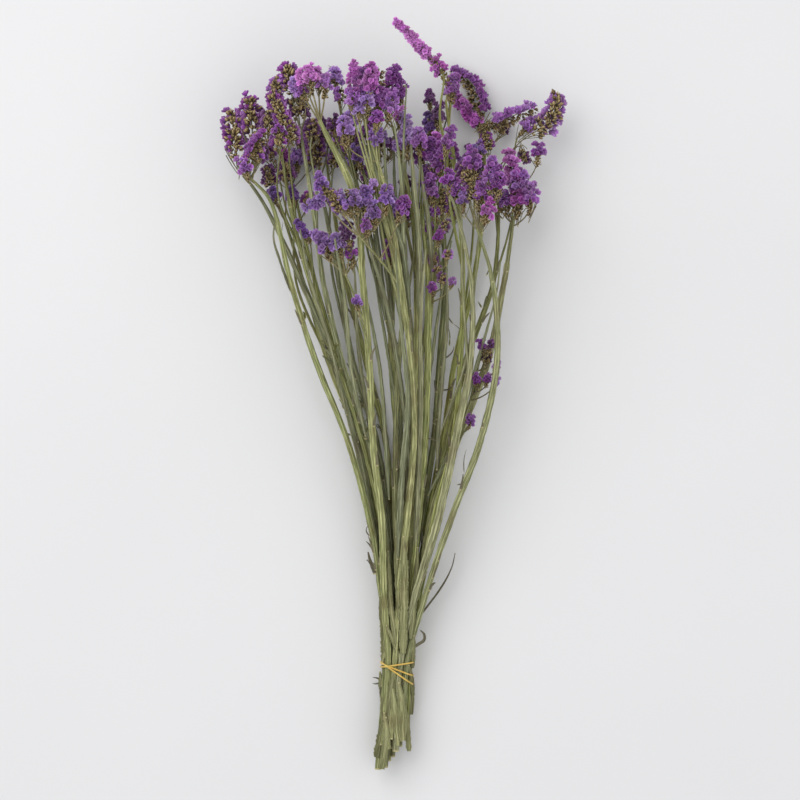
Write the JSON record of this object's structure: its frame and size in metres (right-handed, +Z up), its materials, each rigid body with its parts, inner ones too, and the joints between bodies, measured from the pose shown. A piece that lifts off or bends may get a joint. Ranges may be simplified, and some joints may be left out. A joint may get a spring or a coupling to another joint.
{
  "type": "dried sea lavender bunch",
  "caption": "Tied bunch of dried purple sea lavender (statice) lying on its side, with a fan of ruffled flower spikes above long olive stems held by a rubber band.",
  "frame": {"origin": "middle of the bunch's footprint, on the surface it lies on", "axes": "+Y along the stems from the cut ends to the flowers, +X to the right seen from above, +Z up from the surface"},
  "size_m": [0.2743, 0.6019, 0.1043],
  "materials": {
    "stem": "dry, ridged, matte",
    "flower": "dry, papery, matte",
    "leaf": "dry, curled, matte",
    "band": "smooth, slightly glossy"
  },
  "bodies": {
    "root": {"stem_01": "stem", "stem_02": "stem", "stem_03": "stem", "stem_04": "stem", "stem_05": "stem", "stem_06": "stem", "stem_07": "stem", "stem_08": "stem", "stem_09": "stem", "stem_10": "stem", "stem_11": "stem", "stem_12": "stem", "stem_13": "stem", "stem_14": "stem", "stem_15": "stem", "stem_16": "stem", "stem_17": "stem", "stem_18": "stem", "stem_19": "stem", "stem_20": "stem", "stem_21": "stem", "stem_22": "stem", "stem_23": "stem", "flower_head_01": "flower", "flower_head_02": "flower", "flower_head_03": "flower", "flower_head_04": "flower", "flower_head_05": "flower", "flower_head_06": "flower", "flower_head_07": "flower", "flower_head_08": "flower", "flower_head_09": "flower", "flower_head_10": "flower", "flower_head_11": "flower", "flower_head_12": "flower", "flower_head_13": "flower", "flower_head_14": "flower", "flower_head_15": "flower", "flower_head_16": "flower", "flower_head_17": "flower", "flower_head_18": "flower", "flower_head_19": "flower", "flower_head_20": "flower", "flower_head_21": "flower", "flower_head_22": "flower", "flower_head_23": "flower", "front_spray": "flower", "low_front_spray": "flower", "small_button_spray": "flower", "indigo_spray": "flower", "lavender_spray": "flower", "dusky_spray": "flower", "violet_spray": "flower", "sparse_spray": "flower", "low_right_spray": "flower", "lone_floret": "flower", "bare_twig": "stem", "curled_leaf": "leaf", "withered_leaf": "leaf", "rubber_band": "band"}
  },
  "joints": []
}
